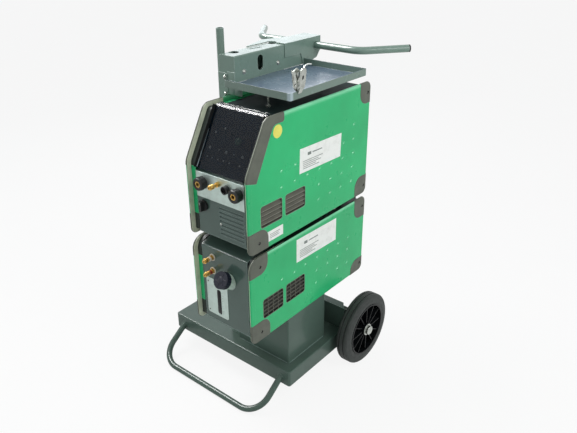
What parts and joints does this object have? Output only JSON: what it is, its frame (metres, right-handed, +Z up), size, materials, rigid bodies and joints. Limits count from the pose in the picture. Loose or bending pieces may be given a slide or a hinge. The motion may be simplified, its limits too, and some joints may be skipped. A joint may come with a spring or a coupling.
{
  "type": "mig welder on cart",
  "caption": "Inverter welding power source on a liquid-cooling unit, carried with a bottle deck, accessory tray and bull-horn handle on a trolley with rear wheels.",
  "frame": {"origin": "on the floor under the middle of the whole's bounding box", "axes": "+Z up, -Y towards the front with the sockets, +X to the right seen from the front, along the axle"},
  "size_m": [0.7466, 0.7914, 1.246],
  "materials": {
    "body_enamel": "powder coat, dark grey-green, satin",
    "tray_enamel": "powder coat, dark blue-grey, semi-gloss",
    "side_enamel": "powder coat, bright green, semi-gloss",
    "guard_plastic": "moulded, grey-brown",
    "black_plastic": "moulded, black",
    "knob_plastic": "moulded, dark green",
    "button_plastic": "moulded, light grey",
    "smoked_plastic": "smoked, glossy",
    "tank_plastic": "blow-moulded, milky white",
    "rim_plastic": "moulded, black, glossy",
    "strip_aluminium": "brushed and anodised",
    "cast_aluminium": "as cast",
    "zinc_steel": "zinc plated",
    "brass": "turned",
    "rubber": "black",
    "tyre": "black rubber with two grooves"
  },
  "bodies": {
    "trolley_and_units": {"accessory_tray": "tray_enamel", "axle": "zinc_steel", "axle_caps": "zinc_steel", "axle_frame": "body_enamel", "base_platform": "body_enamel", "connector_strip": "strip_aluminium", "control_panel": "body_enamel", "coolant_couplings": "brass", "coolant_tank": "tank_plastic", "cooler_casing": "body_enamel", "cooler_chassis": "body_enamel", "cooler_corner_guards": "guard_plastic", "cooler_side_left": "side_enamel", "cooler_side_right": "side_enamel", "foot_loop": "body_enamel", "front_sockets": "black_plastic", "front_upright": "body_enamel", "gas_outlet": "brass", "gauge_plate": "strip_aluminium", "handle_bar": "body_enamel", "handle_bracket": "body_enamel", "handle_end_caps": "black_plastic", "hinge_pin": "zinc_steel", "hose_post": "body_enamel", "inverter_module": "cast_aluminium", "mains_gland": "black_plastic", "pedestal": "body_enamel", "power_chassis": "body_enamel", "power_corner_guards": "guard_plastic", "power_front_panel": "body_enamel", "power_side_left": "side_enamel", "power_side_right": "side_enamel", "power_top_cover": "body_enamel", "pump": "cast_aluminium", "radiator": "cast_aluminium", "rear_upright": "body_enamel", "rubber_feet": "rubber", "screws": "zinc_steel", "side_grilles": "guard_plastic", "socket_contacts": "brass", "top_beam": "body_enamel", "tray_props": "zinc_steel", "work_clamp_body": "zinc_steel"},
    "wheel_right": {"tyre_right": "tyre", "rim_right": "rim_plastic"},
    "wheel_left": {"tyre_left": "tyre", "rim_left": "rim_plastic"},
    "cover": {"panel_cover": "smoked_plastic"},
    "knob": {"control_knob": "knob_plastic"},
    "button_1": {"panel_button_1": "button_plastic"},
    "button_2": {"panel_button_2": "button_plastic"},
    "button_3": {"panel_button_3": "button_plastic"},
    "switch": {"main_switch": "black_plastic"},
    "cap": {"filler_cap": "black_plastic"},
    "gas_collar": {"gas_outlet_collar": "brass"},
    "coolant_feed_collar": {"feed_collar": "brass"},
    "coolant_return_collar": {"return_collar": "brass"},
    "fan_in_power_source": {"power_fan": "black_plastic"},
    "fan_in_cooling_unit": {"cooler_fan": "black_plastic"},
    "clamp_jaw": {"work_clamp_jaw": "zinc_steel"}
  },
  "joints": [
    {"name": "wheel_right_spin", "type": "hinge", "parent": "trolley_and_units", "child": "wheel_right", "pos_m": [0.334, 0.1652, 0.139], "axis": [1, 0, 0], "continuous": true},
    {"name": "wheel_left_spin", "type": "hinge", "parent": "trolley_and_units", "child": "wheel_left", "pos_m": [-0.334, 0.1652, 0.139], "axis": [1, 0, 0], "continuous": true},
    {"name": "cover_hinge", "type": "hinge", "parent": "trolley_and_units", "child": "cover", "pos_m": [0.133, -0.2218, 1.046], "axis": [-1, 0, 0], "range_deg": [0, 100]},
    {"name": "knob_turn", "type": "hinge", "parent": "trolley_and_units", "child": "knob", "pos_m": [0.154, -0.27242, 0.96275], "axis": [0, -0.8723, 0.4889], "continuous": true},
    {"name": "button_1_press", "type": "slide", "parent": "trolley_and_units", "child": "button_1", "axis": [0, 0.8723, -0.4889], "range_m": [0, 0.0015], "stiffness_N_per_m": 300},
    {"name": "button_2_press", "type": "slide", "parent": "trolley_and_units", "child": "button_2", "axis": [0, 0.8723, -0.4889], "range_m": [0, 0.0015], "stiffness_N_per_m": 300},
    {"name": "button_3_press", "type": "slide", "parent": "trolley_and_units", "child": "button_3", "axis": [0, 0.8723, -0.4889], "range_m": [0, 0.0015], "stiffness_N_per_m": 300},
    {"name": "switch_turn", "type": "hinge", "parent": "trolley_and_units", "child": "switch", "pos_m": [0.06, -0.3421, 0.759], "axis": [0, 1, 0], "range_deg": [0, 90]},
    {"name": "cap_turn", "type": "hinge", "parent": "trolley_and_units", "child": "cap", "pos_m": [0.153, -0.3418, 0.52], "axis": [0, -0.8572, 0.515], "range_deg": [0, 90]},
    {"name": "gas_collar_slide", "type": "slide", "parent": "trolley_and_units", "child": "gas_collar", "axis": [0, 1, 0], "range_m": [0, 0.004], "stiffness_N_per_m": 400},
    {"name": "feed_collar_slide", "type": "slide", "parent": "trolley_and_units", "child": "coolant_feed_collar", "axis": [0, 1, 0], "range_m": [0, 0.004], "stiffness_N_per_m": 400},
    {"name": "return_collar_slide", "type": "slide", "parent": "trolley_and_units", "child": "coolant_return_collar", "axis": [0, 1, 0], "range_m": [0, 0.004], "stiffness_N_per_m": 400},
    {"name": "power_fan_spin", "type": "hinge", "parent": "trolley_and_units", "child": "fan_in_power_source", "pos_m": [0.133, 0.1822, 0.854], "axis": [0, 1, 0], "continuous": true},
    {"name": "cooler_fan_spin", "type": "hinge", "parent": "trolley_and_units", "child": "fan_in_cooling_unit", "pos_m": [0.133, 0.1302, 0.478], "axis": [0, 1, 0], "continuous": true},
    {"name": "clamp_jaw_open", "type": "hinge", "parent": "trolley_and_units", "child": "clamp_jaw", "pos_m": [0.287, -0.1628, 1.1277], "axis": [0, 1, 0], "range_deg": [0, 25], "stiffness_Nm_per_rad": 2}
  ]
}
